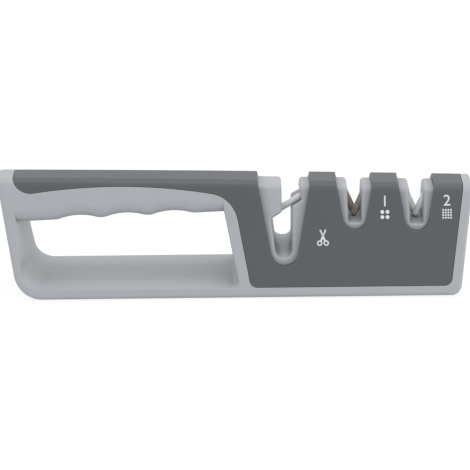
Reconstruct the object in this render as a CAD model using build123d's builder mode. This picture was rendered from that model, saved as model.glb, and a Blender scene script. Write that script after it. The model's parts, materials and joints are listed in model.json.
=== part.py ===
from build123d import *
from math import atan, cos, radians, sin, sqrt, tan
import os

# Knife and scissors sharpener with a loop handle. Millimetres, +X towards the slots,
# front at -Y, +Z up, origin on the table under the middle of the base.

# Outer form
LENGTH = 210.0  # overall
BASE_DEPTH = 50.0  # front to back, where the leaning faces reach the table
HEIGHT_LEFT = 52.0  # top line at the handle end
HEIGHT_MIDDLE = 50.0  # top line at mid-length
HEIGHT_RIGHT = 47.0  # top line at the slot end
FACE_LEAN = radians(17.2)  # front and back faces lean inward going up
LEFT_LEAN = radians(10.0)  # handle end leans outward going up
RIGHT_LEAN = radians(7.2)  # slot end leans outward going up
TOP_ROUND = 5.0  # along the two top edges
EDGE_ROUND = 1.5  # round the ends and along the bottom
LEFT_CORNER = 12.5  # bottom corner under the handle, seen from the front
RIGHT_CORNER = 4.6  # bottom corner under the slots
DECK_TOP = 5.0  # floor of the loop and of the head

# Loop under the handle
LEFT_RIM = 2.6  # wall beside the loop at its floor
LOOP_LEFT_LEAN = radians(6.7)
LOOP_RIGHT_SHARE = 0.0081  # its right edge at the floor, as a share of the length from the middle
LOOP_RIGHT_LEAN = radians(11.1)
LOOP_BOTTOM_LEFT_ROUND = 9.0
LOOP_BOTTOM_RIGHT_ROUND = 2.5
LOOP_LEFT_DRAFT = 4.5  # narrower at the back, on the left
LOOP_RIGHT_DRAFT = 0.9  # and on the right
RIM_ROUND = 0.8
HANDLE_ROOT = 1.5  # handle into the body beside the loop
HANDLE_DEPTH_LEFT = 18.7  # handle from its top to the first finger crest
HANDLE_DEPTH_RIGHT = 15.2  # and to the last
CRESTS = 4
CREST_START = 0.87  # first crest from the loop's left side, in finger pitches
CREST_END = 0.645  # last crest from its right side
GROOVE_SHARE = 0.07  # groove depth, in finger pitches
CREST_SHARE = 0.23  # crest radius as a share of the crest and groove radii together
UNDERSIDE_SHARE = 0.249  # rounding of the handle's lower edges, as a share of the finger pitch
CHANNEL_HALF_WIDTH = 4.2  # hollow of the handle, closed by the cover strip
CHANNEL_FLOOR = 6.0  # plastic under the hollow
CHANNEL_END = 9.0  # solid plastic at each end of the hollow, from the loop's sides

# Cover
COVER_WALL = 2.2
PARTING_GAP = 0.3  # round the cover's outline
SEAT_GAP = 0.15  # between the cover and what lies under it
WEB_FACE = 5.25  # light strip between the loop and the cover, at the deck
COVER_LEFT_LEAN = radians(10.9)
END_FACE = 4.6  # light strip at the slot end, at the top
COVER_RIGHT_LEAN = radians(7.7)
STRIP_SETBACK = 7.4  # strip's left end from the handle end
STRIP_END_DROP = 7.1  # strip's lower edge below the top line, at its left end
STRIP_ARCH_DROP = 2.6  # at the top of its arch
STRIP_ARCH_SHARE = -0.243  # its place, as a share of the length from the middle
SHOULDER_DROP = 6.7  # where the strip meets the head
STRIP_CORNER = 8.0
SHOULDER_ROUND = 14.0
COVER_CORNER = 3.2
LEDGE = 3.0  # body behind the cover's left and right edges
CUTOUT_FLARE = radians(10.8)
TONGUE_WIDTH = 8.0
TONGUE_THICKNESS = 1.4
TONGUE_LENGTH = 2.6  # below the cover's lower edge
TONGUE_FIT = 0.2
TONGUE_ROOT = 0.5  # tongue into the cover's edge
LOCATOR_LENGTH = 6.0  # ribs under the strip, in the handle's hollow
LOCATOR_DEPTH = 5.0
LOCATOR_FIT = 0.2

# Slots, given by their middle as a share of the length, and by depths below the top line
SCISSOR_SHARE = 0.1036
COARSE_SHARE = 0.2519
FINE_SHARE = 0.3824
SCISSOR_CUTOUT_DEPTH = 35.5
SCISSOR_CUTOUT_HALF = 5.0  # half-width at the bottom
SCISSOR_CUTOUT_ROUND = 5.8
CUTOUT_DEPTH = 19.7
CUTOUT_HALF = 4.3
CUTOUT_ROUND = 5.1
SLOT_DEPTH = 17.4
SLOT_HALF = 2.75
SLOT_FLARE = radians(1.5)
SLOT_CORNER = 0.8
LIP_ROUND = 1.5  # slot edges of the liners
LINER_GAP = 0.3  # between liners, and beside the body

# Crossed rods
ROD_RADIUS = 1.6
ROD_TILT = radians(24.0)  # from upright
ROD_LENGTH = 12.4
ROD_SPACING = 3.5  # between the two axes, front to back
ROD_FIT = 0.05
ROD_END_PLAY = 0.3
APEX_DEPTH = 12.5  # where the inner edges of a pair cross
ROD_END_CHAMFER = 0.3

# Scissors rod and its dog-legged slot, from the slot's middle and the top line
SCISSOR_ROD_RADIUS = 1.5
SCISSOR_ROD_RISE = radians(32.0)  # from level
SCISSOR_ROD_X = 3.25  # a point on its axis
SCISSOR_ROD_DEPTH = 12.1
SCISSOR_ROD_LEFT = 11.2  # from that point to each end
SCISSOR_ROD_RIGHT = 9.8
GATE_LEFT = -1.05  # upper passage
GATE_RIGHT = 7.9
GATE_LEAN = radians(10.8)  # its right side
WELL_LEFT_TOP = -5.6  # lower passage
WELL_LEFT = -3.75
WELL_RIGHT = 3.25
WELL_DEPTH = 32.8
WELL_ROUND = 3.3
PLATE_LIP = 0.6  # plastic under the rod, in the left plate
LEDGE_GAP = 0.45  # between the rod and the ledge on the right
GUIDE_SLOPE = radians(18.0)  # plate and ledge rise towards the front and the back
SCISSOR_CORNER = 1.8

# Fasteners
SCREW_RADIUS = 1.25
SCREW_FIT = 0.05
SCREW_END_ROOM = 0.3  # hole beyond the tip
SCREW_HEAD_RADIUS = 2.4
SCREW_HEAD_HEIGHT = 1.4
SCREW_HEAD_FIT = 0.2
DRIVE_SLOT_WIDTH = 0.7
DRIVE_SLOT_DEPTH = 0.7
DECK_SCREW_LENGTH = 10.2
DECK_SCREW_Y = 9.0
DECK_SCREW_SEAT = 1.2  # deck left over the head
SCISSOR_SCREW_SHARE = 0.57  # place between the scissors slot and the liner's sides
CROSS_SCREW_HEIGHT = 20.5
CROSS_SCREW_GRIP = 5.0  # plastic under the head, in the front liner
CROSS_SCREW_LENGTH = 12.7
HOLLOW_HEIGHT = 11.0  # hollow under each liner, above the deck
HOLLOW_WALL = 2.5
MIDDLE_WALL = 3.0  # beside the parting plane
BOSS_RADIUS = 3.2

# Sole
SOLE_PROUD = 0.5  # pads below the body
SOLE_THICKNESS = 1.6
SOLE_MARGIN = 5.0  # body round the pads
SOLE_FIT = 0.15
SOLE_CORNER = 6.0
SOLE_SPLIT = 6.0  # bar between the two pads

# Places along the length
LOOP_RIGHT_X = LOOP_RIGHT_SHARE * LENGTH
STRIP_ARCH_X = STRIP_ARCH_SHARE * LENGTH
SCISSOR_X = SCISSOR_SHARE * LENGTH
COARSE_X = COARSE_SHARE * LENGTH
FINE_X = FINE_SHARE * LENGTH

FRONT = -1
BACK = 1
ABOVE = HEIGHT_LEFT + TOP_ROUND  # level clear over everything


def top_height(x):
    """Top line at x, through the three heights."""
    half = LENGTH / 2
    slope = (HEIGHT_RIGHT - HEIGHT_LEFT) / LENGTH
    sag = (HEIGHT_LEFT + HEIGHT_RIGHT) / 2 - HEIGHT_MIDDLE
    return HEIGHT_MIDDLE + slope * x + sag * (x / half) ** 2


def half_depth(z):
    """Half of the outer depth at height z."""
    return BASE_DEPTH / 2 - z * tan(FACE_LEAN)


def corner_reach(lean):
    """How much a sharp top corner stands out past its rounding."""
    return EDGE_ROUND * (tan(lean) + 1 / cos(lean) - 1)


def left_end_x(z):
    return -LENGTH / 2 - corner_reach(LEFT_LEAN) + (HEIGHT_LEFT - z) * tan(LEFT_LEAN)


def right_end_x(z):
    return LENGTH / 2 + corner_reach(RIGHT_LEAN) - (HEIGHT_RIGHT - z) * tan(RIGHT_LEAN)


def loop_left_x(z):
    return left_end_x(DECK_TOP) + LEFT_RIM - (z - DECK_TOP) * tan(LOOP_LEFT_LEAN)


def loop_right_x(z):
    return LOOP_RIGHT_X - (z - DECK_TOP) * tan(LOOP_RIGHT_LEAN)


def cover_left_x(z):
    return LOOP_RIGHT_X + WEB_FACE - (z - DECK_TOP) * tan(COVER_LEFT_LEAN)


def cover_right_x(z):
    return right_end_x(HEIGHT_RIGHT) - END_FACE - (HEIGHT_RIGHT - z) * tan(COVER_RIGHT_LEAN)


LOOP_LEFT_X = loop_left_x(DECK_TOP)
CREST_LEVEL = HEIGHT_MIDDLE - HANDLE_DEPTH_RIGHT
LOOP_WIDTH = loop_right_x(CREST_LEVEL) - loop_left_x(CREST_LEVEL)
CREST_PITCH = LOOP_WIDTH / (CREST_START + CRESTS - 1 + CREST_END)
FIRST_CREST_X = loop_left_x(CREST_LEVEL) + CREST_START * CREST_PITCH
LAST_CREST_X = loop_right_x(CREST_LEVEL) - CREST_END * CREST_PITCH
GROOVE_DEPTH = GROOVE_SHARE * CREST_PITCH
FIRST_CREST_Z = top_height(FIRST_CREST_X) - HANDLE_DEPTH_LEFT
LAST_CREST_Z = top_height(LAST_CREST_X) - HANDLE_DEPTH_RIGHT
CREST_SLOPE = (LAST_CREST_Z - FIRST_CREST_Z) / (LAST_CREST_X - FIRST_CREST_X)
CREST_STEP = CREST_PITCH / cos(atan(CREST_SLOPE))  # along the line of crests
# Crest and groove arcs touch, so their two radii add up to this
RADIUS_SUM = ((CREST_STEP / 2) ** 2 + GROOVE_DEPTH**2) / (2 * GROOVE_DEPTH)
CREST_ROUND = CREST_SHARE * RADIUS_SUM
UNDERSIDE_ROUND = UNDERSIDE_SHARE * CREST_PITCH
# The loop's rim is rounded up to half the height of the handle
RIM_TOP = min(FIRST_CREST_Z + HANDLE_DEPTH_LEFT / 2, LAST_CREST_Z + HANDLE_DEPTH_RIGHT / 2)
RIM_PLANE = Plane.XY.offset(RIM_TOP)


def crest_height(x):
    """Level of the finger crests under the handle."""
    return FIRST_CREST_Z + (x - FIRST_CREST_X) * CREST_SLOPE


def on_rim(edge):
    """Whether an edge of a leaning face lies along the loop."""
    middle = edge.center()
    margin = (LEFT_RIM - EDGE_ROUND) / 2
    beside = loop_left_x(middle.Z) - margin < middle.X < loop_right_x(middle.Z) + margin
    return beside and DECK_TOP - margin < middle.Z < RIM_TOP - margin


def under_handle(edge):
    """Whether an edge of a leaning face lies along the finger grooves."""
    middle = edge.center()
    return abs(middle.Z - crest_height(middle.X) - GROOVE_DEPTH / 2) < GROOVE_DEPTH


def leaning_edges(builder, wanted):
    """Edges of the front and back faces that pass a test."""
    faces = builder.faces().filter_by(GeomType.PLANE).sort_by(Axis.Y)
    return faces[0].edges().filter_by(wanted) + faces[-1].edges().filter_by(wanted)


def envelope(inset):
    """Closed outer form without its end rounding, moved inward by inset on every side."""
    with BuildPart() as form:
        with BuildSketch(Plane.YZ):
            with BuildLine():
                Polyline(
                    (-half_depth(SOLE_PROUD), SOLE_PROUD),
                    (half_depth(SOLE_PROUD), SOLE_PROUD),
                    (half_depth(ABOVE), ABOVE),
                    (-half_depth(ABOVE), ABOVE),
                    close=True,
                )
            make_face()
            if inset:
                offset(amount=-inset, kind=Kind.INTERSECTION)
        extrude(amount=LENGTH, both=True)
        with BuildSketch(Plane.XZ) as outline:
            top_left = (left_end_x(HEIGHT_LEFT), HEIGHT_LEFT)
            top_right = (right_end_x(HEIGHT_RIGHT), HEIGHT_RIGHT)
            bottom_left = (left_end_x(SOLE_PROUD), SOLE_PROUD)
            bottom_right = (right_end_x(SOLE_PROUD), SOLE_PROUD)
            with BuildLine():
                Polyline(top_left, bottom_left, bottom_right, top_right)
                ThreePointArc(top_right, (0, HEIGHT_MIDDLE), top_left)
            make_face()
            if inset:
                offset(amount=-inset, kind=Kind.INTERSECTION)
            fillet(outline.vertices().sort_by_distance(bottom_left)[0], LEFT_CORNER - inset)
            fillet(outline.vertices().sort_by_distance(bottom_right)[0], RIGHT_CORNER - inset)
        extrude(amount=BASE_DEPTH, both=True, mode=Mode.INTERSECT)
        long_edges = form.edges().filter_by(GeomType.ELLIPSE)
        fillet(long_edges.sort_by(Axis.Z)[-2:], TOP_ROUND - inset)
    return form.part


def cover_region(grow):
    """Everything inside the cover's outline as seen from the front, the outline moved outward by grow."""
    lower_edge = DECK_TOP + PARTING_GAP
    strip_end_z = top_height(left_end_x(HEIGHT_LEFT)) - STRIP_END_DROP
    shoulder_z = top_height(0) - SHOULDER_DROP
    strip_end = (left_end_x(strip_end_z) + STRIP_SETBACK, strip_end_z)
    arch_top = (STRIP_ARCH_X, top_height(STRIP_ARCH_X) - STRIP_ARCH_DROP)
    shoulder = (cover_left_x(shoulder_z), shoulder_z)
    low_left = (cover_left_x(lower_edge), lower_edge)
    low_right = (cover_right_x(lower_edge), lower_edge)
    with BuildPart() as region:
        with BuildSketch(Plane.XZ) as outline:
            with BuildLine():
                ThreePointArc(strip_end, arch_top, shoulder)
                Polyline(
                    shoulder,
                    low_left,
                    low_right,
                    (cover_right_x(ABOVE), ABOVE),
                    (left_end_x(ABOVE) + STRIP_SETBACK, ABOVE),
                    strip_end,
                )
            make_face()
            fillet(outline.vertices().sort_by_distance(strip_end)[0], STRIP_CORNER)
            fillet(outline.vertices().sort_by_distance(shoulder)[0], SHOULDER_ROUND)
            fillet(outline.vertices().sort_by_distance(low_left)[0], COVER_CORNER)
            fillet(outline.vertices().sort_by_distance(low_right)[0], COVER_CORNER)
            if grow:
                offset(amount=grow)
        extrude(amount=BASE_DEPTH, both=True)
    return region.part


def flared_slot(centre, depth, half_width, flare, corner):
    """A slot right through from front to back, open at the top and wider there."""
    floor = top_height(centre) - depth
    top_half = half_width + (ABOVE - floor) * tan(flare)
    with BuildPart() as slot:
        with BuildSketch(Plane.XZ) as outline:
            with BuildLine():
                Polyline(
                    (centre - half_width, floor),
                    (centre + half_width, floor),
                    (centre + top_half, ABOVE),
                    (centre - top_half, ABOVE),
                    close=True,
                )
            make_face()
            fillet(outline.vertices().group_by(Axis.Y)[0], corner)
        extrude(amount=BASE_DEPTH, both=True)
    return slot.part


def scissor_slot():
    """Dog-legged slot: an upper and a lower passage, with a ledge and a plate along the rod between them."""
    top = top_height(SCISSOR_X)
    floor = top - WELL_DEPTH

    def along_rod(x, gap, rise):
        """A point below the rod by gap, and raised."""
        axis_drop = SCISSOR_ROD_DEPTH - (x - SCISSOR_ROD_X) * tan(SCISSOR_ROD_RISE)
        return (SCISSOR_X + x, top - axis_drop - SCISSOR_ROD_RADIUS / cos(SCISSOR_ROD_RISE) - gap + rise)

    def profile(y):
        rise = abs(y) * tan(GUIDE_SLOPE)
        plate_end = along_rod(GATE_LEFT, PLATE_LIP, rise)
        plate_start = along_rod(WELL_LEFT_TOP, PLATE_LIP, rise)
        ledge_start = along_rod(WELL_RIGHT, LEDGE_GAP, rise)
        ledge_end = along_rod(GATE_RIGHT, LEDGE_GAP, rise)
        gate_top = ledge_end[0] - (ABOVE - ledge_end[1]) * tan(GATE_LEAN)
        with BuildSketch(Plane.XZ.offset(-y)) as outline:
            with BuildLine():
                Polyline(
                    (SCISSOR_X + GATE_LEFT, ABOVE),
                    plate_end,
                    plate_start,
                    (SCISSOR_X + WELL_LEFT, floor),
                    (SCISSOR_X + WELL_RIGHT, floor),
                    ledge_start,
                    ledge_end,
                    (gate_top, ABOVE),
                    close=True,
                )
            make_face()
            fillet(outline.vertices().group_by(Axis.Y)[0], WELL_ROUND)
            for corner in (plate_end, plate_start, ledge_start, ledge_end):
                fillet(outline.vertices().sort_by_distance(corner)[0], SCISSOR_CORNER)
        return outline.sketch

    with BuildPart() as slot:
        for side in (FRONT, BACK):
            loft([profile(0), profile(side * BASE_DEPTH / 2)], ruled=True)
    return slot.part


def loop_side(x_at_deck, lean, corner, draft):
    """Body beside the loop, which comes further into it towards the back: draft is signed along X."""
    inward = 1 if draft > 0 else -1
    top = HEIGHT_LEFT
    spare = HEIGHT_LEFT

    def profile(y, shift):
        foot = x_at_deck + shift
        cove = foot + inward * corner * (1 / cos(lean) + inward * tan(lean))
        with BuildSketch(Plane.XZ.offset(-y)) as outline:
            with BuildLine():
                Polyline(
                    (foot - (top - DECK_TOP) * tan(lean), top),
                    (foot, DECK_TOP),
                    (cove + inward * corner, DECK_TOP),
                    (cove + inward * corner, DECK_TOP - spare),
                    (x_at_deck - inward * spare - (top - DECK_TOP) * tan(lean), DECK_TOP - spare),
                    (x_at_deck - inward * spare - (top - DECK_TOP) * tan(lean), top),
                    close=True,
                )
            make_face()
            fillet(outline.vertices().sort_by_distance((foot, DECK_TOP))[0], corner)
        return outline.sketch

    sections = [profile(-BASE_DEPTH / 2, 0), profile(BASE_DEPTH / 2, draft)]
    with BuildPart() as side:
        loft(sections, ruled=True)
    return side.part


def loop_hole(*sides):
    """The opening under the handle, right through from front to back and on up past the top."""
    with BuildPart() as hole:
        with BuildSketch(Plane.XZ):
            with BuildLine():
                Polyline(
                    (LOOP_LEFT_X, DECK_TOP),
                    (LOOP_RIGHT_X, DECK_TOP),
                    (loop_right_x(ABOVE), ABOVE),
                    (loop_left_x(ABOVE), ABOVE),
                    close=True,
                )
            make_face()
        extrude(amount=BASE_DEPTH / 2, both=True)
        for side in sides:
            add(side, mode=Mode.SUBTRACT)
    return hole.part


def handle_bar(form):
    """The bar over the loop, with its finger grooves; its ends reach into the body beside the loop."""
    slope = atan(CREST_SLOPE)
    groove_radius = RADIUS_SUM - CREST_ROUND
    crest_half = CREST_SHARE * CREST_STEP / 2
    groove_half = CREST_STEP / 2 - crest_half

    def under(along, rise):
        """A point under the handle, along the line of crests and square to it."""
        x = FIRST_CREST_X + along * cos(slope) - rise * sin(slope)
        z = FIRST_CREST_Z + along * sin(slope) + rise * cos(slope)
        return (x, z)

    def crest(middle, away):
        """A point of the crest whose middle is given, at a distance from that middle."""
        return under(middle + away, CREST_ROUND - sqrt(CREST_ROUND**2 - away**2))

    def groove(middle, away):
        """The same for a groove."""
        return under(middle + away, GROOVE_DEPTH - groove_radius + sqrt(groove_radius**2 - away**2))

    def root(x_at_deck, lean):
        """Where the line of crests meets a leaning line that is given by its x at the deck."""
        reach = x_at_deck - (FIRST_CREST_Z - DECK_TOP) * tan(lean) - FIRST_CREST_X
        return under(reach / (cos(slope) + tan(lean) * sin(slope)), 0)

    def arc(form, middle, start, stop):
        ThreePointArc(form(middle, start), form(middle, (start + stop) / 2), form(middle, stop))

    last_crest = (CRESTS - 1) * CREST_STEP
    left_root = root(LOOP_LEFT_X - HANDLE_ROOT, LOOP_LEFT_LEAN)
    right_root = root(LOOP_RIGHT_X + HANDLE_ROOT, LOOP_RIGHT_LEAN)
    with BuildPart() as bar:
        with BuildSketch(Plane.XZ):
            with BuildLine():
                Line(left_root, crest(0, 0))
                arc(crest, 0, 0, crest_half)
                for number in range(CRESTS - 1):
                    arc(groove, (number + 0.5) * CREST_STEP, -groove_half, groove_half)
                for number in range(1, CRESTS - 1):
                    arc(crest, number * CREST_STEP, -crest_half, crest_half)
                arc(crest, last_crest, -crest_half, 0)
                Line(crest(last_crest, 0), right_root)
                Polyline(
                    right_root,
                    (loop_right_x(ABOVE) + HANDLE_ROOT, ABOVE),
                    (loop_left_x(ABOVE) - HANDLE_ROOT, ABOVE),
                    left_root,
                )
            make_face()
        extrude(amount=BASE_DEPTH / 2, both=True)
        add(form, mode=Mode.INTERSECT)
        fillet(leaning_edges(bar, under_handle), UNDERSIDE_ROUND)
    return bar.part


def screw(plane, length):
    """One screw: the head's underside lies on the plane, the shank runs along its normal."""
    with BuildPart(plane) as made:
        Cylinder(SCREW_RADIUS, length, align=(Align.CENTER, Align.CENTER, Align.MIN))
        Cylinder(SCREW_HEAD_RADIUS, SCREW_HEAD_HEIGHT, align=(Align.CENTER, Align.CENTER, Align.MAX))
        with Locations((0, 0, -SCREW_HEAD_HEIGHT)):
            slot_size = (2 * SCREW_RADIUS, DRIVE_SLOT_WIDTH, 2 * DRIVE_SLOT_DEPTH)
            Box(*slot_size, mode=Mode.SUBTRACT)
            Box(*slot_size, rotation=(0, 0, 90), mode=Mode.SUBTRACT)
    return made.part


def screw_hole(plane, length, shank_radius, head_depth):
    """Room for a screw and its head."""
    with BuildPart(plane) as made:
        Cylinder(shank_radius, length, align=(Align.CENTER, Align.CENTER, Align.MIN))
        Cylinder(
            SCREW_HEAD_RADIUS + SCREW_HEAD_FIT, head_depth, align=(Align.CENTER, Align.CENTER, Align.MAX)
        )
    return made.part


# Sides of the liners
FIRST_JOINT = (SCISSOR_X + COARSE_X) / 2
SECOND_JOINT = (COARSE_X + FINE_X) / 2


def well_left(z):
    return cover_left_x(z) + LEDGE + LINER_GAP


def well_right(z):
    return cover_right_x(z) - LEDGE - LINER_GAP


def joint_left(x):
    return lambda z: x - LINER_GAP / 2


def joint_right(x):
    return lambda z: x + LINER_GAP / 2


# Where the fasteners go
SEAT_LEVEL = DECK_TOP - DECK_SCREW_SEAT
SCISSOR_LEFT_X = SCISSOR_X + WELL_LEFT_TOP
SCISSOR_RIGHT_X = SCISSOR_X + WELL_RIGHT
STAGE_SCREWS = {
    "scissor": (
        SCISSOR_LEFT_X + SCISSOR_SCREW_SHARE * (well_left(DECK_TOP) - SCISSOR_LEFT_X),
        SCISSOR_RIGHT_X + SCISSOR_SCREW_SHARE * (FIRST_JOINT - SCISSOR_RIGHT_X),
    ),
    "coarse": (COARSE_X,),
    "fine": (FINE_X,),
}
SCREW_XS = [x for xs in STAGE_SCREWS.values() for x in xs]
DECK_PLANES = [
    Plane(origin=(x, side * DECK_SCREW_Y, SEAT_LEVEL)) for x in SCREW_XS for side in (FRONT, BACK)
]
CROSS_PLANES = [
    Plane(origin=(x, -CROSS_SCREW_GRIP, CROSS_SCREW_HEIGHT), z_dir=(0, 1, 0)) for x in SCREW_XS
]
TONGUE_XS = (FIRST_JOINT, SECOND_JOINT)
COVER_EDGE = DECK_TOP + PARTING_GAP
TONGUE_Y = half_depth(COVER_EDGE) - COVER_WALL / cos(FACE_LEAN) / 2
LOCATOR_XS = (FIRST_CREST_X + CREST_PITCH / 2, LAST_CREST_X - CREST_PITCH / 2)
CHANNEL_LEFT = loop_left_x(FIRST_CREST_Z) + CHANNEL_END
CHANNEL_RIGHT = loop_right_x(LAST_CREST_Z) - CHANNEL_END

# Pads: the outline follows the bottom of the body
PAD_DEPTH = 2 * (half_depth(SOLE_PROUD) - EDGE_ROUND - SOLE_MARGIN)
PAD_LEFT = left_end_x(SOLE_PROUD) + LEFT_CORNER
PAD_RIGHT = right_end_x(SOLE_PROUD) - RIGHT_CORNER - EDGE_ROUND
HANDLE_PAD = (PAD_LEFT, LOOP_RIGHT_X)
HEAD_PAD = (LOOP_RIGHT_X + SOLE_SPLIT, PAD_RIGHT)


def pad(left, right, grow, low, high):
    """A sole pad, or with grow the recess that it lies in."""
    with BuildPart() as made:
        with BuildSketch(Plane.XY.offset(low)):
            with Locations(((left + right) / 2, 0)):
                RectangleRounded(right - left + 2 * grow, PAD_DEPTH + 2 * grow, SOLE_CORNER)
        extrude(amount=high - low)
    return made.part


# Body: deck, loop handle, web and end wall in one moulding
outer_form = envelope(0)
core_form = envelope(COVER_WALL + SEAT_GAP)
cover_recess = cover_region(PARTING_GAP)
left_side = loop_side(LOOP_LEFT_X, LOOP_LEFT_LEAN, LOOP_BOTTOM_LEFT_ROUND, LOOP_LEFT_DRAFT)
right_side = loop_side(LOOP_RIGHT_X, LOOP_RIGHT_LEAN, LOOP_BOTTOM_RIGHT_ROUND, -LOOP_RIGHT_DRAFT)
opening = loop_hole(left_side, right_side)
deck_holes = [
    screw_hole(plane, DECK_SCREW_SEAT, SCREW_RADIUS + SCREW_HEAD_FIT, SEAT_LEVEL) for plane in DECK_PLANES
]
recess_ceiling = SOLE_THICKNESS + SOLE_FIT
pad_recesses = [pad(*span, SOLE_FIT, 0, recess_ceiling) for span in (HANDLE_PAD, HEAD_PAD)]

with BuildPart() as recess_shell:
    add(cover_recess)
    add(core_form, mode=Mode.SUBTRACT)

with BuildPart() as blank:
    add(outer_form)
    leaning_faces = blank.faces().filter_by(GeomType.PLANE).sort_by(Axis.Y)
    outline_edges = [leaning_faces[end].edges().sort_by(Axis.Z)[:-1] for end in (0, -1)]
    fillet(outline_edges[0] + outline_edges[1], EDGE_ROUND)
    add(opening, mode=Mode.SUBTRACT)

with BuildPart() as lower_body:
    add(blank.part)
    split(bisect_by=RIM_PLANE, keep=Keep.BOTTOM)
    fillet(leaning_edges(lower_body, on_rim), RIM_ROUND)

with BuildPart() as upper_body:
    add(blank.part)
    split(bisect_by=RIM_PLANE, keep=Keep.TOP)
    add(handle_bar(outer_form))

with BuildPart() as body_frame:
    add(lower_body.part)
    add(upper_body.part)
    add(recess_shell.part, mode=Mode.SUBTRACT)
    # Well for the liners, between the web and the end wall
    with BuildSketch(Plane.XZ):
        with BuildLine():
            Polyline(
                (cover_left_x(DECK_TOP) + LEDGE, DECK_TOP),
                (cover_right_x(DECK_TOP) - LEDGE, DECK_TOP),
                (cover_right_x(ABOVE) - LEDGE, ABOVE),
                (cover_left_x(ABOVE) + LEDGE, ABOVE),
                close=True,
            )
        make_face()
    extrude(amount=BASE_DEPTH, both=True, mode=Mode.SUBTRACT)
    # Hollow of the handle
    with BuildSketch(Plane.XZ):
        with BuildLine():
            Polyline(
                (CHANNEL_LEFT, crest_height(CHANNEL_LEFT) + CHANNEL_FLOOR),
                (CHANNEL_RIGHT, crest_height(CHANNEL_RIGHT) + CHANNEL_FLOOR),
                (CHANNEL_RIGHT, ABOVE),
                (CHANNEL_LEFT, ABOVE),
                close=True,
            )
        make_face()
    extrude(amount=CHANNEL_HALF_WIDTH, both=True, mode=Mode.SUBTRACT)
    for tool in deck_holes + pad_recesses:
        add(tool, mode=Mode.SUBTRACT)
    # Slots for the cover's tongues
    for side in (FRONT, BACK):
        for x in TONGUE_XS:
            with Locations((x, side * TONGUE_Y, COVER_EDGE - TONGUE_LENGTH - TONGUE_FIT)):
                Box(
                    TONGUE_WIDTH + 2 * TONGUE_FIT,
                    TONGUE_THICKNESS + 2 * TONGUE_FIT,
                    TONGUE_LENGTH + DECK_TOP,
                    align=(Align.CENTER, Align.CENTER, Align.MIN),
                    mode=Mode.SUBTRACT,
                )
body_frame.part.label = "body_frame"

# Cover: a thin shell over the head, with a strip that closes the handle
inner_form = envelope(COVER_WALL)
cover_outline = cover_region(0)
cutouts = [
    flared_slot(SCISSOR_X, SCISSOR_CUTOUT_DEPTH, SCISSOR_CUTOUT_HALF, CUTOUT_FLARE, SCISSOR_CUTOUT_ROUND),
    flared_slot(COARSE_X, CUTOUT_DEPTH, CUTOUT_HALF, CUTOUT_FLARE, CUTOUT_ROUND),
    flared_slot(FINE_X, CUTOUT_DEPTH, CUTOUT_HALF, CUTOUT_FLARE, CUTOUT_ROUND),
]

with BuildPart() as top_cover:
    add(outer_form)
    add(cover_outline, mode=Mode.INTERSECT)
    add(inner_form, mode=Mode.SUBTRACT)
    for tool in cutouts:
        add(tool, mode=Mode.SUBTRACT)
    for side in (FRONT, BACK):
        for x in TONGUE_XS:
            with Locations((x, side * TONGUE_Y, COVER_EDGE - TONGUE_LENGTH)):
                Box(
                    TONGUE_WIDTH,
                    TONGUE_THICKNESS,
                    TONGUE_LENGTH + TONGUE_ROOT,
                    align=(Align.CENTER, Align.CENTER, Align.MIN),
                )
    for x in LOCATOR_XS:
        with Locations((x, 0, top_height(x) - COVER_WALL / 2)):
            Box(
                LOCATOR_LENGTH,
                2 * (CHANNEL_HALF_WIDTH - LOCATOR_FIT),
                LOCATOR_DEPTH,
                align=(Align.CENTER, Align.CENTER, Align.MAX),
            )
top_cover.part.label = "top_cover"

# Rods
ROD_OFFSET = ROD_SPACING / 2


def crossed_rod_plane(centre, side):
    """Plane at the middle of a rod's domed tip: normal up the rod, X towards the parting plane."""
    # The front rod leans right and the back rod leans left
    lean = -side
    axis_level = top_height(centre) - APEX_DEPTH - ROD_RADIUS / sin(ROD_TILT)
    tip_level = top_height(centre) - SLOT_DEPTH + ROD_RADIUS + ROD_END_PLAY
    tip_x = centre + lean * (tip_level - axis_level) * tan(ROD_TILT)
    return Plane(
        origin=(tip_x, side * ROD_OFFSET, tip_level),
        x_dir=(0, -side, 0),
        z_dir=(lean * sin(ROD_TILT), 0, cos(ROD_TILT)),
    )


def crossed_rod(plane):
    """A round rod with a domed tip."""
    with BuildPart(plane) as made:
        Cylinder(ROD_RADIUS, ROD_LENGTH, align=(Align.CENTER, Align.CENTER, Align.MIN))
        chamfer(made.edges().filter_by(GeomType.CIRCLE).sort_by(Axis.Z)[-1], ROD_END_CHAMFER)
        Sphere(ROD_RADIUS)
    return made.part


def crossed_rod_groove(plane):
    """Groove for a crossed rod, open at the parting plane."""
    radius = ROD_RADIUS + ROD_FIT
    length = ROD_LENGTH + ROD_END_PLAY
    with BuildPart(plane) as made:
        Cylinder(radius, length, align=(Align.CENTER, Align.CENTER, Align.MIN))
        Box(2 * ROD_OFFSET, 2 * radius, length, align=(Align.MIN, Align.CENTER, Align.MIN))
    return made.part


SCISSOR_ROD_PLANE = Plane(
    origin=(
        SCISSOR_X + SCISSOR_ROD_X - SCISSOR_ROD_LEFT * cos(SCISSOR_ROD_RISE),
        0,
        top_height(SCISSOR_X) - SCISSOR_ROD_DEPTH - SCISSOR_ROD_LEFT * sin(SCISSOR_ROD_RISE),
    ),
    x_dir=(0, 1, 0),
    z_dir=(cos(SCISSOR_ROD_RISE), 0, sin(SCISSOR_ROD_RISE)),
)
SCISSOR_ROD_LENGTH = SCISSOR_ROD_LEFT + SCISSOR_ROD_RIGHT

with BuildPart(SCISSOR_ROD_PLANE) as scissor_rod:
    Cylinder(SCISSOR_ROD_RADIUS, SCISSOR_ROD_LENGTH, align=(Align.CENTER, Align.CENTER, Align.MIN))
    chamfer(scissor_rod.edges().filter_by(GeomType.CIRCLE), ROD_END_CHAMFER)
scissor_rod.part.label = "scissor_rod"

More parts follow.
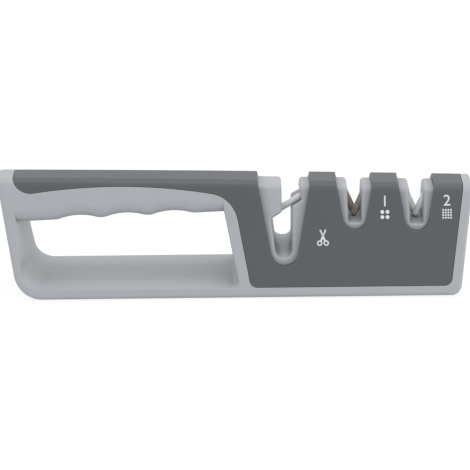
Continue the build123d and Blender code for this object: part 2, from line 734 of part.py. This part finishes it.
with BuildPart(SCISSOR_ROD_PLANE) as scissor_groove:
    with Locations((0, 0, -ROD_END_PLAY)):
        Cylinder(
            SCISSOR_ROD_RADIUS + ROD_FIT,
            SCISSOR_ROD_LENGTH + 2 * ROD_END_PLAY,
            align=(Align.CENTER, Align.CENTER, Align.MIN),
        )

# Liners: one slotted block per stage, parted along the middle plane round the rods
STAGES = {
    "scissor": (SCISSOR_X, well_left, joint_left(FIRST_JOINT)),
    "coarse": (COARSE_X, joint_right(FIRST_JOINT), joint_left(SECOND_JOINT)),
    "fine": (FINE_X, joint_right(SECOND_JOINT), well_right),
}
SLOTS = {
    "scissor": scissor_slot(),
    "coarse": flared_slot(COARSE_X, SLOT_DEPTH, SLOT_HALF, SLOT_FLARE, SLOT_CORNER),
    "fine": flared_slot(FINE_X, SLOT_DEPTH, SLOT_HALF, SLOT_FLARE, SLOT_CORNER),
}


def liner_hollow(stage, side):
    """Hollow under half a liner, round the bosses of its deck screws."""
    _, left_edge, right_edge = STAGES[stage]
    ceiling = DECK_TOP + HOLLOW_HEIGHT
    left = left_edge(DECK_TOP) + HOLLOW_WALL
    right = right_edge(DECK_TOP) - HOLLOW_WALL
    outer_y = half_depth(ceiling) - COVER_WALL - SEAT_GAP - HOLLOW_WALL
    with BuildPart() as made:
        with BuildSketch(Plane.XY.offset(DECK_TOP)):
            with Locations(((left + right) / 2, side * (MIDDLE_WALL + outer_y) / 2)):
                Rectangle(right - left, outer_y - MIDDLE_WALL)
            with Locations(*[(x, side * DECK_SCREW_Y) for x in STAGE_SCREWS[stage]]):
                Circle(BOSS_RADIUS, mode=Mode.SUBTRACT)
        extrude(amount=HOLLOW_HEIGHT)
    return made.part


bore_radius = SCREW_RADIUS + SCREW_FIT
deck_bores = [
    screw_hole(plane, DECK_SCREW_LENGTH + SCREW_END_ROOM, bore_radius, SCREW_HEAD_HEIGHT)
    for plane in DECK_PLANES
]
cross_bores = [
    screw_hole(plane, CROSS_SCREW_LENGTH + SCREW_END_ROOM, bore_radius, BASE_DEPTH) for plane in CROSS_PLANES
]


def liner(stage, side):
    """The front or back half of one stage's liner."""
    centre, left_edge, right_edge = STAGES[stage]
    hollow = liner_hollow(stage, side)
    if stage == "scissor":
        groove = scissor_groove.part
    else:
        groove = crossed_rod_groove(crossed_rod_plane(centre, side))
    with BuildPart() as half:
        with BuildSketch(Plane.XZ):
            with BuildLine():
                Polyline(
                    (left_edge(DECK_TOP), DECK_TOP),
                    (right_edge(DECK_TOP), DECK_TOP),
                    (right_edge(ABOVE), ABOVE),
                    (left_edge(ABOVE), ABOVE),
                    close=True,
                )
            make_face()
        extrude(amount=-side * BASE_DEPTH)
        add(core_form, mode=Mode.INTERSECT)
        add(SLOTS[stage], mode=Mode.SUBTRACT)
        # Round the slot's edges on the outer face; the rounding runs on over the top
        outer_face = half.faces().filter_by(GeomType.PLANE).sort_by(Axis.Y)[0 if side == FRONT else -1]
        inside = (left_edge(DECK_TOP) + LIP_ROUND, right_edge(DECK_TOP) - LIP_ROUND)
        slot_edges = outer_face.edges().filter_by_position(Axis.X, *inside)
        lips = slot_edges.filter_by_position(Axis.Z, DECK_TOP + HOLLOW_HEIGHT / 2, ABOVE)
        fillet(lips, LIP_ROUND)
        add(groove, mode=Mode.SUBTRACT)
        add(hollow, mode=Mode.SUBTRACT)
        for tool in deck_bores + cross_bores:
            add(tool, mode=Mode.SUBTRACT)
    return half.part


pieces = [body_frame.part, top_cover.part, scissor_rod.part]
for stage, (centre, *edges) in STAGES.items():
    for side, side_name in ((FRONT, "front"), (BACK, "back")):
        half = liner(stage, side)
        half.label = f"{stage}_cartridge_{side_name}"
        pieces.append(half)
        if stage != "scissor":
            rod = crossed_rod(crossed_rod_plane(centre, side))
            rod.label = f"{stage}_rod_{side_name}"
            pieces.append(rod)

# Fasteners, each kind one group
with BuildPart() as deck_screws:
    for plane in DECK_PLANES:
        add(screw(plane, DECK_SCREW_LENGTH))
deck_screws.part.label = "deck_screws"

with BuildPart() as cross_screws:
    for plane in CROSS_PLANES:
        add(screw(plane, CROSS_SCREW_LENGTH))
cross_screws.part.label = "cartridge_screws"

# Soles
handle_pad = pad(*HANDLE_PAD, 0, 0, SOLE_THICKNESS)
handle_pad.label = "handle_sole_pad"
head_pad = pad(*HEAD_PAD, 0, 0, SOLE_THICKNESS)
head_pad.label = "head_sole_pad"
pieces += [deck_screws.part, cross_screws.part, handle_pad, head_pad]

os.makedirs("parts", exist_ok=True)
for piece in pieces:
    export_step(piece, f"parts/{piece.label}.step")
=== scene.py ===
import json
from math import cos, pi, radians, sin

import bpy
from mathutils import Matrix, Vector


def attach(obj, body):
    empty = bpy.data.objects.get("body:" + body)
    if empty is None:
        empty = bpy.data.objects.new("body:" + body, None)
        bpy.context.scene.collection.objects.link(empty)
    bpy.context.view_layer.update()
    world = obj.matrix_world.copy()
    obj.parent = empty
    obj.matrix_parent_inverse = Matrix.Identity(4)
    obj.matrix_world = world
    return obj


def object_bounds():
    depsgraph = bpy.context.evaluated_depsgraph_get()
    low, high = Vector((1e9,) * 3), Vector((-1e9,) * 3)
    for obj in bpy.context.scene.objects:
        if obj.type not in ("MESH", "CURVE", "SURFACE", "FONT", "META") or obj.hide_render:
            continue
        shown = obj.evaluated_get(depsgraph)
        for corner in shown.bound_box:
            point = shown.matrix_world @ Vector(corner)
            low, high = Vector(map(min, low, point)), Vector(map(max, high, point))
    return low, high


# Looks of the knife and scissors sharpener: camera, light, plastics, ceramics and the printed signs.
# Metres; +X towards the slots, front at -Y, +Z up, floor at 0.

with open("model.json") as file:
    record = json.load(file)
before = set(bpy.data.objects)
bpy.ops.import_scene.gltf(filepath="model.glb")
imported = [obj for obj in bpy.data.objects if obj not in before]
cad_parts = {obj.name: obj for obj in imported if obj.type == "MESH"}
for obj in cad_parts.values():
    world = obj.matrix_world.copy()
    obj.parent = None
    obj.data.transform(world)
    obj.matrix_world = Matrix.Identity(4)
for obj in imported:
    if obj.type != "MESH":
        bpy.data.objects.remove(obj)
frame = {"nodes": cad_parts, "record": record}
cad_low, cad_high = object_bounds()
nodes = frame["nodes"]
BODY = "sharpener"  # the body that the printed signs ride on
MM = 0.001

# Camera
IMAGE_PIXELS = 470
SENSOR = 36.0  # width, in millimetres
ELEVATION = radians(18.5)
ROLL = radians(0.65)
DISTANCE = 1200 * MM
PIXELS_PER_MM = 2.2214  # at the middle of the object
AIM_UP = 20.75 * MM  # image centre above the frame's origin, square to the view
AIM_SIDE = -0.11 * MM


def photo_camera():
    """Looks down at the front from the height of the photograph, with its slight roll."""
    data = bpy.data.cameras.new("camera")
    data.sensor_width = SENSOR
    data.lens = PIXELS_PER_MM * DISTANCE / MM * SENSOR / IMAGE_PIXELS
    camera = bpy.data.objects.new("camera", data)
    bpy.context.scene.collection.objects.link(camera)
    forward = Vector((0, cos(ELEVATION), -sin(ELEVATION)))
    upward = Vector((0, sin(ELEVATION), cos(ELEVATION)))
    camera.location = Vector((AIM_SIDE, 0, 0)) + upward * AIM_UP - forward * DISTANCE
    turn = Matrix.Rotation(pi / 2 - ELEVATION, 3, "X") @ Matrix.Rotation(-ROLL, 3, "Z")
    camera.rotation_euler = turn.to_euler()
    bpy.context.scene.camera = camera


photo_camera()
bpy.context.scene.view_settings.view_transform = "Standard"


# Colours, sizes and nodes
MIX_COLOUR = 2  # the Mix node's colour output


def linear(hex_colour):
    """sRGB hex to the linear colour that a shader takes, by the standard's own curve."""
    levels = [int(hex_colour[i : i + 2], 16) / 255 for i in (1, 3, 5)]
    return [v / 12.92 if v <= 0.04045 else ((v + 0.055) / 1.055) ** 2.4 for v in levels] + [1.0]


def per_mm(size):
    """Texture scale for features of that size in millimetres, on Object coordinates."""
    return 1 / (size * MM)


def add_node(tree, kind, settings=None, links=None):
    """Adds a node with its values and links, each by property, socket identifier or socket name."""
    node = tree.nodes.new(kind)

    def socket(key):
        by_identifier = [s for s in node.inputs if s.identifier == key]
        return (by_identifier or [s for s in node.inputs if s.name == key])[0]

    for key, value in (settings or {}).items():
        if hasattr(node, key):
            setattr(node, key, value)
        else:
            socket(key).default_value = value
    for key, source in (links or {}).items():
        tree.links.new(source, socket(key))
    return node


def start_material(name):
    """A new material with an empty node tree."""
    material = bpy.data.materials.new(name)
    material.use_nodes = True
    material.node_tree.nodes.clear()
    return material, material.node_tree


# Floor and light
WHITE = (1, 1, 1, 1)
FLOOR_SIZE = 6.0
FLOOR_GLOW = 0.86  # with the lit share below, the open floor is seen as white
FLOOR_LIT = 0.2  # the part of what is seen that the object can shade
WORLD_LIGHT = 0.82  # strength as light; where the surroundings are seen they are white


def seen_rays(tree):
    """1 for what is seen straight, in a reflection or through glass, and 0 for light on its way."""
    path = add_node(tree, "ShaderNodeLightPath")
    seen = path.outputs["Is Camera Ray"]
    for kind in ("Is Glossy Ray", "Is Transmission Ray"):
        either = {"Value": seen, "Value_001": path.outputs[kind]}
        seen = add_node(tree, "ShaderNodeMath", {"operation": "MAXIMUM"}, either).outputs[0]
    return seen


def pale_floor():
    """Paper-white sweep: white where it is seen, with the object's soft shadow kept."""
    bpy.ops.mesh.primitive_plane_add(size=FLOOR_SIZE, location=(0, 0, 0))
    floor = bpy.context.object
    floor.name = "floor"
    material, tree = start_material("matt_white_paper")
    paper = add_node(tree, "ShaderNodeBsdfDiffuse", {"Color": linear("#F0F0F0")})
    lit = add_node(tree, "ShaderNodeBsdfDiffuse", {"Color": (FLOOR_LIT, FLOOR_LIT, FLOOR_LIT, 1)})
    glow = add_node(tree, "ShaderNodeEmission", {"Color": WHITE, "Strength": FLOOR_GLOW})
    bright = add_node(
        tree,
        "ShaderNodeAddShader",
        links={"Shader": glow.outputs[0], "Shader_001": lit.outputs[0]},
    )
    face = add_node(
        tree,
        "ShaderNodeMixShader",
        links={"Fac": seen_rays(tree), "Shader": paper.outputs[0], "Shader_001": bright.outputs[0]},
    )
    add_node(tree, "ShaderNodeOutputMaterial", links={"Surface": face.outputs[0]})
    floor.data.materials.append(material)


def white_world():
    """Even white surroundings, which give a little less light than a white that is seen."""
    world = bpy.data.worlds.new("studio")
    bpy.context.scene.world = world
    world.use_nodes = True
    tree = world.node_tree
    tree.nodes.clear()
    light = add_node(tree, "ShaderNodeBackground", {"Color": WHITE, "Strength": WORLD_LIGHT})
    white = add_node(tree, "ShaderNodeBackground", {"Color": WHITE, "Strength": 1.0})
    sky = add_node(
        tree,
        "ShaderNodeMixShader",
        links={"Fac": seen_rays(tree), "Shader": light.outputs[0], "Shader_001": white.outputs[0]},
    )
    add_node(tree, "ShaderNodeOutputWorld", links={"Surface": sky.outputs[0]})


def softbox(name, place, size, watts):
    """A square area lamp that faces the middle of the object."""
    data = bpy.data.lights.new(name, "AREA")
    data.size = size
    data.energy = watts
    lamp = bpy.data.objects.new(name, data)
    bpy.context.scene.collection.objects.link(lamp)
    lamp.location = place
    middle = (cad_low + cad_high) / 2
    lamp.rotation_euler = (middle - Vector(place)).to_track_quat("-Z", "Y").to_euler()


pale_floor()
white_world()
softbox("overhead", place=(0, 0, 1.1), size=0.4, watts=2.0)
softbox("behind", place=(0, 0.9, 1.0), size=0.6, watts=0.55)
softbox("right", place=(1.1, -0.35, 0.45), size=0.7, watts=2.4)


# Materials, with the sizes of their features in millimetres
def moulded_abs(name, base, cloudy, highlight_colour, corner_shade, shade_reach, roughness):
    """Injection-moulded ABS from a spark-eroded mould.

    The eye sees an even satin grey with a faint grain and slow clouds where the melt flowed. Edges are
    painted paler as a painted highlight, and corners and recesses darker as painted shade.
    """
    cloud_size = 28
    grain_size = 0.9  # the real grain is about 0.2 mm across and would not show
    grain_depth = 0.05
    grain_roughness = 0.06
    edge_width = 0.6
    flat_match = 0.99  # cosine between the rounded normal and the true one, where an edge begins
    edge_match = 0.85  # the same where the painted edge highlight is full
    # the painted edge highlight reaches this share of the paler colour
    highlight_share = 0.7

    material, tree = start_material(name)
    place = add_node(tree, "ShaderNodeTexCoord").outputs["Object"]
    clouds = add_node(
        tree,
        "ShaderNodeTexNoise",
        {"Scale": per_mm(cloud_size), "Detail": 3.0},
        {"Vector": place},
    )
    grain = add_node(
        tree,
        "ShaderNodeTexNoise",
        {"Scale": per_mm(grain_size), "Detail": 2.0},
        {"Vector": place},
    )
    tint = add_node(
        tree,
        "ShaderNodeMix",
        {"data_type": "RGBA", "A_Color": linear(base), "B_Color": linear(cloudy)},
        {"Factor_Float": clouds.outputs["Fac"]},
    )
    # Painted highlight: edges are painted paler where a rounded normal leaves the true one
    soft = add_node(tree, "ShaderNodeBevel", {"Radius": edge_width * MM, "samples": 6})
    true = add_node(tree, "ShaderNodeNewGeometry")
    match = add_node(
        tree,
        "ShaderNodeVectorMath",
        {"operation": "DOT_PRODUCT"},
        {"Vector": soft.outputs["Normal"], "Vector_001": true.outputs["Normal"]},
    )
    edge = add_node(
        tree,
        "ShaderNodeMapRange",
        {"From Min": flat_match, "From Max": edge_match, "To Max": highlight_share},
        {"Value": match.outputs["Value"]},
    )
    highlighted = add_node(
        tree,
        "ShaderNodeMix",
        {"data_type": "RGBA", "B_Color": linear(highlight_colour)},
        {"Factor_Float": edge.outputs["Result"], "A_Color": tint.outputs[MIX_COLOUR]},
    )
    # Painted shade: corners and recesses are painted darker where little of the surroundings can be
    # seen
    opened = add_node(tree, "ShaderNodeAmbientOcclusion", {"samples": 8, "Distance": shade_reach * MM})
    corner_shaded = add_node(
        tree,
        "ShaderNodeMix",
        {"data_type": "RGBA", "A_Color": linear(corner_shade)},
        {"Factor_Float": opened.outputs["AO"], "B_Color": highlighted.outputs[MIX_COLOUR]},
    )
    sheen = add_node(
        tree,
        "ShaderNodeMapRange",
        {"To Min": roughness - grain_roughness, "To Max": roughness + grain_roughness},
        {"Value": grain.outputs["Fac"]},
    )
    bump = add_node(
        tree,
        "ShaderNodeBump",
        {"Strength": 0.2, "Distance": grain_depth * MM},
        {"Height": grain.outputs["Fac"]},
    )
    shader = add_node(
        tree,
        "ShaderNodeBsdfPrincipled",
        {"IOR": 1.54},
        {
            "Base Color": corner_shaded.outputs[MIX_COLOUR],
            "Roughness": sheen.outputs["Result"],
            "Normal": bump.outputs["Normal"],
        },
    )
    add_node(tree, "ShaderNodeOutputMaterial", links={"Surface": shader.outputs[0]})
    return material


def sintered_alumina():
    """White alumina ceramic, pressed, sintered and ground.

    The eye sees chalky white with faint specks, and grey smudges where steel has rubbed off on it.
    """
    speck_size = 0.5  # grinding specks are about 0.1 mm across and would not show
    speck_depth = 0.04
    smudge_size = 4.0
    smudge_share = 0.35

    material, tree = start_material("sintered_alumina")
    place = add_node(tree, "ShaderNodeTexCoord").outputs["Object"]
    specks = add_node(
        tree,
        "ShaderNodeTexNoise",
        {"Scale": per_mm(speck_size), "Detail": 3.0},
        {"Vector": place},
    )
    smudges = add_node(
        tree,
        "ShaderNodeTexNoise",
        {"Scale": per_mm(smudge_size), "Detail": 2.0},
        {"Vector": place},
    )
    chalk = add_node(
        tree,
        "ShaderNodeMix",
        {"data_type": "RGBA", "A_Color": linear("#F2F2F0"), "B_Color": linear("#FAFAF8")},
        {"Factor_Float": specks.outputs["Fac"]},
    )
    worn = add_node(
        tree,
        "ShaderNodeMapRange",
        {"From Min": 0.55, "From Max": 0.75, "To Max": smudge_share},
        {"Value": smudges.outputs["Fac"]},
    )
    smeared = add_node(
        tree,
        "ShaderNodeMix",
        {"data_type": "RGBA", "B_Color": linear("#CFCECB")},
        {"Factor_Float": worn.outputs["Result"], "A_Color": chalk.outputs[MIX_COLOUR]},
    )
    bump = add_node(
        tree,
        "ShaderNodeBump",
        {"Strength": 0.25, "Distance": speck_depth * MM},
        {"Height": specks.outputs["Fac"]},
    )
    shader = add_node(
        tree,
        "ShaderNodeBsdfPrincipled",
        {"IOR": 1.76, "Roughness": 0.55},
        {"Base Color": smeared.outputs[MIX_COLOUR], "Normal": bump.outputs["Normal"]},
    )
    add_node(tree, "ShaderNodeOutputMaterial", links={"Surface": shader.outputs[0]})
    return material


def bonded_grit():
    """Abrasive grit in a resin bond on the coarse rods.

    The eye sees a rough brownish grey in uneven patches, dark between the grains.
    """
    grain_size = 0.55  # the real grains are about 0.15 mm across and would not show
    grain_depth = 0.08
    patch_size = 2.5
    gap_shade = 0.6

    material, tree = start_material("bonded_abrasive_grit")
    place = add_node(tree, "ShaderNodeTexCoord").outputs["Object"]
    grains = add_node(tree, "ShaderNodeTexVoronoi", {"Scale": per_mm(grain_size)}, {"Vector": place})
    patches = add_node(
        tree,
        "ShaderNodeTexNoise",
        {"Scale": per_mm(patch_size), "Detail": 2.0},
        {"Vector": place},
    )
    resin = add_node(
        tree,
        "ShaderNodeMix",
        {"data_type": "RGBA", "A_Color": linear("#A8A19B"), "B_Color": linear("#BDB6AF")},
        {"Factor_Float": patches.outputs["Fac"]},
    )
    between = add_node(
        tree,
        "ShaderNodeMapRange",
        {"From Min": 0.3, "From Max": 0.8, "To Max": gap_shade},
        {"Value": grains.outputs["Distance"]},
    )
    gritty = add_node(
        tree,
        "ShaderNodeMix",
        {"data_type": "RGBA", "B_Color": linear("#7A746F")},
        {"Factor_Float": between.outputs["Result"], "A_Color": resin.outputs[MIX_COLOUR]},
    )
    bump = add_node(
        tree,
        "ShaderNodeBump",
        {"Strength": 0.6, "Distance": grain_depth * MM, "invert": True},
        {"Height": grains.outputs["Distance"]},
    )
    shader = add_node(
        tree,
        "ShaderNodeBsdfPrincipled",
        {"Roughness": 0.75},
        {"Base Color": gritty.outputs[MIX_COLOUR], "Normal": bump.outputs["Normal"]},
    )
    add_node(tree, "ShaderNodeOutputMaterial", links={"Surface": shader.outputs[0]})
    return material


def zinc_plated_steel():
    """Cold-headed screws with bright zinc plating.

    The eye sees a bluish metal, cloudy where the bath left the plating thicker.
    """
    cloud_size = 1.6

    material, tree = start_material("zinc_plated_steel")
    place = add_node(tree, "ShaderNodeTexCoord").outputs["Object"]
    bath = add_node(
        tree,
        "ShaderNodeTexNoise",
        {"Scale": per_mm(cloud_size), "Detail": 4.0},
        {"Vector": place},
    )
    plating = add_node(
        tree,
        "ShaderNodeMix",
        {"data_type": "RGBA", "A_Color": linear("#B4B7BB"), "B_Color": linear("#D0D3D6")},
        {"Factor_Float": bath.outputs["Fac"]},
    )
    dullness = add_node(
        tree,
        "ShaderNodeMapRange",
        {"To Min": 0.22, "To Max": 0.42},
        {"Value": bath.outputs["Fac"]},
    )
    shader = add_node(
        tree,
        "ShaderNodeBsdfPrincipled",
        {"Metallic": 1.0},
        {"Base Color": plating.outputs[MIX_COLOUR], "Roughness": dullness.outputs["Result"]},
    )
    add_node(tree, "ShaderNodeOutputMaterial", links={"Surface": shader.outputs[0]})
    return material


def ribbed_rubber():
    """Moulded black rubber soles.

    The eye sees a slanting tread of fine ribs, dull and a little dusty.
    """
    rib_pitch = 2.2
    rib_depth = 0.25
    rib_slant = radians(35)
    dust_size = 6.0

    material, tree = start_material("ribbed_rubber")
    place = add_node(tree, "ShaderNodeTexCoord").outputs["Object"]
    slanted = add_node(tree, "ShaderNodeMapping", {"Rotation": (0, 0, rib_slant)}, {"Vector": place})
    # At a scale of 1 the wave texture has 10 / pi bands in each unit
    ribs = add_node(
        tree,
        "ShaderNodeTexWave",
        {"Scale": per_mm(rib_pitch) * pi / 10},
        {"Vector": slanted.outputs["Vector"]},
    )
    dust = add_node(
        tree,
        "ShaderNodeTexNoise",
        {"Scale": per_mm(dust_size), "Detail": 4.0},
        {"Vector": place},
    )
    black = add_node(
        tree,
        "ShaderNodeMix",
        {"data_type": "RGBA", "A_Color": linear("#26282A"), "B_Color": linear("#3E4042")},
        {"Factor_Float": dust.outputs["Fac"]},
    )
    bump = add_node(
        tree,
        "ShaderNodeBump",
        {"Strength": 0.8, "Distance": rib_depth * MM},
        {"Height": ribs.outputs["Fac"]},
    )
    shader = add_node(
        tree,
        "ShaderNodeBsdfPrincipled",
        {"IOR": 1.52, "Roughness": 0.8},
        {"Base Color": black.outputs[MIX_COLOUR], "Normal": bump.outputs["Normal"]},
    )
    add_node(tree, "ShaderNodeOutputMaterial", links={"Surface": shader.outputs[0]})
    return material


def screen_print_ink():
    """White ink printed through a screen.

    The eye sees an opaque, slightly mottled white, a little glossier than the plastic round it.
    """
    mottle_size = 0.4  # marks of the screen's mesh are about 0.1 mm across and would not show

    material, tree = start_material("white_screen_print_ink")
    place = add_node(tree, "ShaderNodeTexCoord").outputs["Object"]
    mottle = add_node(
        tree,
        "ShaderNodeTexNoise",
        {"Scale": per_mm(mottle_size), "Detail": 2.0},
        {"Vector": place},
    )
    ink = add_node(
        tree,
        "ShaderNodeMix",
        {"data_type": "RGBA", "A_Color": linear("#DDDEDE"), "B_Color": linear("#EEEEED")},
        {"Factor_Float": mottle.outputs["Fac"]},
    )
    gloss = add_node(
        tree,
        "ShaderNodeMapRange",
        {"To Min": 0.3, "To Max": 0.42},
        {"Value": mottle.outputs["Fac"]},
    )
    shader = add_node(
        tree,
        "ShaderNodeBsdfPrincipled",
        links={"Base Color": ink.outputs[MIX_COLOUR], "Roughness": gloss.outputs["Result"]},
    )
    add_node(tree, "ShaderNodeOutputMaterial", links={"Surface": shader.outputs[0]})
    return material


def dress(material, *names):
    """Gives CAD nodes their material."""
    for name in names:
        mesh = nodes[name].data
        mesh.materials.clear()
        mesh.materials.append(material)


STAGES = ("scissor", "coarse", "fine")
liners = [f"{stage}_cartridge_{side}" for stage in STAGES for side in ("front", "back")]
# Each plastic's paler colour is a painted edge highlight, and its darker one is painted shade in
# corners
light_abs = moulded_abs(
    "light_grey_abs",
    base="#A9ADB2",
    cloudy="#AEB2B6",
    highlight_colour="#BCBFC3",
    corner_shade="#8E9297",
    shade_reach=2.0,
    roughness=0.45,
)
liner_abs = moulded_abs(
    "liner_grey_abs",
    base="#A9ACB1",
    cloudy="#AEB1B5",
    highlight_colour="#BCBEC2",
    corner_shade="#75787B",
    shade_reach=4.0,
    roughness=0.42,
)
dark_abs = moulded_abs(
    "dark_grey_abs",
    base="#4E5256",
    cloudy="#53575B",
    highlight_colour="#6A6F74",
    corner_shade="#434749",
    shade_reach=2.0,
    roughness=0.48,
)
white_ink = screen_print_ink()
dress(light_abs, "body_frame")
dress(liner_abs, *liners)
dress(dark_abs, "top_cover")
dress(sintered_alumina(), "scissor_rod", "fine_rod_front", "fine_rod_back")
dress(bonded_grit(), "coarse_rod_front", "coarse_rod_back")
dress(zinc_plated_steel(), "cartridge_screws", "deck_screws")
dress(ribbed_rubber(), "handle_sole_pad", "head_sole_pad")

# Printed signs on the cover's front face: a pair of scissors, and a number over coarse or fine grit
INK_THICKNESS = 0.02 * MM
FACES_FRONT = -0.9  # largest Y in the normal of a face that looks to the front
SIGN_HEIGHT = 38.0 * MM  # of the two grit signs, above the floor
SIGN_RIGHT_OF_SLOT = 13.2 * MM
SIGN_PARTS_APART = 1.0 * MM
NUMBER_TALL = 4.8 * MM
DIGIT_SHARE = 0.7  # height of a digit in the built-in font, as a share of its size
GRIT_WIDE = 4.6 * MM  # square of dots under the number
DOT_SHARE = 0.36  # radius of a dot, as a share of the dots' pitch
DOT_RIM_SHARE = 0.25  # width of a dot's rim, as a share of its radius
DOT_SIDES = 24
SCISSORS_HEIGHT = 25.8 * MM
SCISSORS_RIGHT_OF_SLOT = 17.15 * MM
RING_SIDES = 40
BLADE_POINT_SHARE = 0.3  # width of a blade's point, as a share of its stroke


def slot_middle(name):
    """Middle of a slot along the length, from the record's openings."""
    box = next(o["box_m"] for o in frame["record"]["physics"]["openings"] if o["name"] == name)
    return (box[0][0] + box[1][0]) / 2


def front_place(x, z):
    """A place on the cover's front face: X to the right, Y up the face, Z out of it."""
    polygons = nodes["top_cover"].data.polygons
    front_faces = [p for p in polygons if p.normal.y < FACES_FRONT and p.center.y < 0]
    face = max(front_faces, key=lambda p: p.area)
    normal = face.normal.copy()
    right = Vector((1, 0, 0))
    upward_on_face = normal.cross(right)
    y = face.center.y - (z - face.center.z) * normal.z / normal.y
    turn = Matrix((right, upward_on_face, normal)).transposed().to_4x4()
    return Matrix.Translation((x, y, z)) @ turn


def flat_dot(place, radius):
    """A round blot of ink with a rim inset in it."""
    bpy.ops.mesh.primitive_circle_add(
        vertices=DOT_SIDES, radius=radius, fill_type="NGON", location=(*place, 0)
    )
    bpy.ops.object.mode_set(mode="EDIT")
    bpy.ops.mesh.select_all(action="SELECT")
    bpy.ops.mesh.inset(thickness=radius * DOT_RIM_SHARE)
    bpy.ops.object.mode_set(mode="OBJECT")
    return bpy.context.object


def flat_ring(place, radius, stroke):
    """A ring of ink, extruded inwards from its outer edge."""
    bpy.ops.mesh.primitive_circle_add(vertices=RING_SIDES, radius=radius, location=(*place, 0))
    bpy.ops.object.mode_set(mode="EDIT")
    bpy.ops.mesh.select_all(action="SELECT")
    bpy.ops.mesh.extrude_region_move()
    inward = 1 - stroke / radius
    bpy.ops.transform.resize(value=(inward, inward, 1), center_override=(*place, 0))
    bpy.ops.object.mode_set(mode="OBJECT")
    return bpy.context.object


def flat_blade(foot, tip, stroke):
    """A straight blade from foot to tip, with a point as long as its stroke beyond the tip."""
    run = Vector(tip) - Vector(foot)
    length = run.length
    bpy.ops.mesh.primitive_plane_add(size=1, location=(0, 0, 0))
    blade = bpy.context.object
    blade.scale = (stroke, length, 1)
    bpy.ops.object.transform_apply(location=False, rotation=False, scale=True)
    for corner in blade.data.vertices:
        corner.select = corner.co.y > 0
    bpy.ops.object.mode_set(mode="EDIT")
    bpy.ops.mesh.extrude_region_move(TRANSFORM_OT_translate={"value": (0, stroke, 0)})
    point_end = (0, length / 2 + stroke, 0)
    bpy.ops.transform.resize(value=(BLADE_POINT_SHARE, 1, 1), center_override=point_end)
    bpy.ops.object.mode_set(mode="OBJECT")
    blade.location = ((foot[0] + tip[0]) / 2, (foot[1] + tip[1]) / 2, 0)
    blade.rotation_euler = (0, 0, -Vector((0, 1)).angle_signed(run))
    return blade


def flat_number(word, middle_up):
    """A plain number, centred, made a mesh."""
    bpy.ops.object.text_add(location=(0, 0, 0))
    number = bpy.context.object
    number.data.body = word
    number.data.size = NUMBER_TALL / DIGIT_SHARE
    number.data.align_x = "CENTER"
    number.data.align_y = "CENTER"
    bpy.ops.object.convert(target="MESH")
    number.location = (0, middle_up, 0)
    return number


def print_sign(name, parts, place):
    """Joins flat parts into one sign, gives it the ink's thickness and puts it on the cover."""
    bpy.ops.object.select_all(action="DESELECT")
    for part in parts:
        part.select_set(True)
    sign = parts[0]
    bpy.context.view_layer.objects.active = sign
    bpy.ops.object.transform_apply(location=True, rotation=True, scale=True)
    bpy.ops.object.join()
    # Faces that look down are turned over, so that the ink thickens outwards everywhere
    for face in sign.data.polygons:
        face.select = face.normal.z < 0
    bpy.ops.object.mode_set(mode="EDIT")
    bpy.ops.mesh.select_mode(type="FACE")
    bpy.ops.mesh.flip_normals()
    bpy.ops.object.mode_set(mode="OBJECT")
    wall = sign.modifiers.new("ink", "SOLIDIFY")
    wall.thickness = INK_THICKNESS
    wall.offset = 1
    bpy.ops.object.modifier_apply(modifier=wall.name)
    sign.matrix_world = place
    bpy.ops.object.transform_apply(location=True, rotation=True, scale=True)
    sign.name = name
    sign.data.materials.append(white_ink)
    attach(sign, BODY)


def grit_sign(name, word, dots, slot):
    """A number, and under it a square of dots as large as the grit is coarse."""
    pitch = GRIT_WIDE / dots
    low = -(GRIT_WIDE + SIGN_PARTS_APART) / 2
    steps = [(number + 0.5) * pitch - GRIT_WIDE / 2 for number in range(dots)]
    parts = [flat_dot((across, low + up), DOT_SHARE * pitch) for across in steps for up in steps]
    parts.append(flat_number(word, (NUMBER_TALL + SIGN_PARTS_APART) / 2))
    print_sign(name, parts, front_place(slot_middle(slot) + SIGN_RIGHT_OF_SLOT, SIGN_HEIGHT))


def scissors_sign():
    """Open scissors: two rings below, two crossed blades above."""
    # Out is to either side of the sign's middle; low, foot and tip are heights above it
    ring_radius = 1.2 * MM
    ring_stroke = 0.55 * MM
    ring_out = 1.45 * MM
    ring_low = -2.35 * MM
    blade_stroke = 0.8 * MM
    blade_foot_out = 0.9 * MM
    blade_foot = -1.4 * MM
    blade_tip_out = 1.0 * MM
    blade_tip = 3.0 * MM
    parts = []
    for side in (-1, 1):
        parts.append(flat_ring((side * ring_out, ring_low), ring_radius, ring_stroke))
        foot = (side * blade_foot_out, blade_foot)
        tip = (-side * blade_tip_out, blade_tip)
        parts.append(flat_blade(foot, tip, blade_stroke))
    x = slot_middle("scissor_slot_lower") + SCISSORS_RIGHT_OF_SLOT
    print_sign("scissors_sign", parts, front_place(x, SCISSORS_HEIGHT))


scissors_sign()
grit_sign("coarse_sign", word="1", dots=2, slot="coarse_slot")
grit_sign("fine_sign", word="2", dots=4, slot="fine_slot")
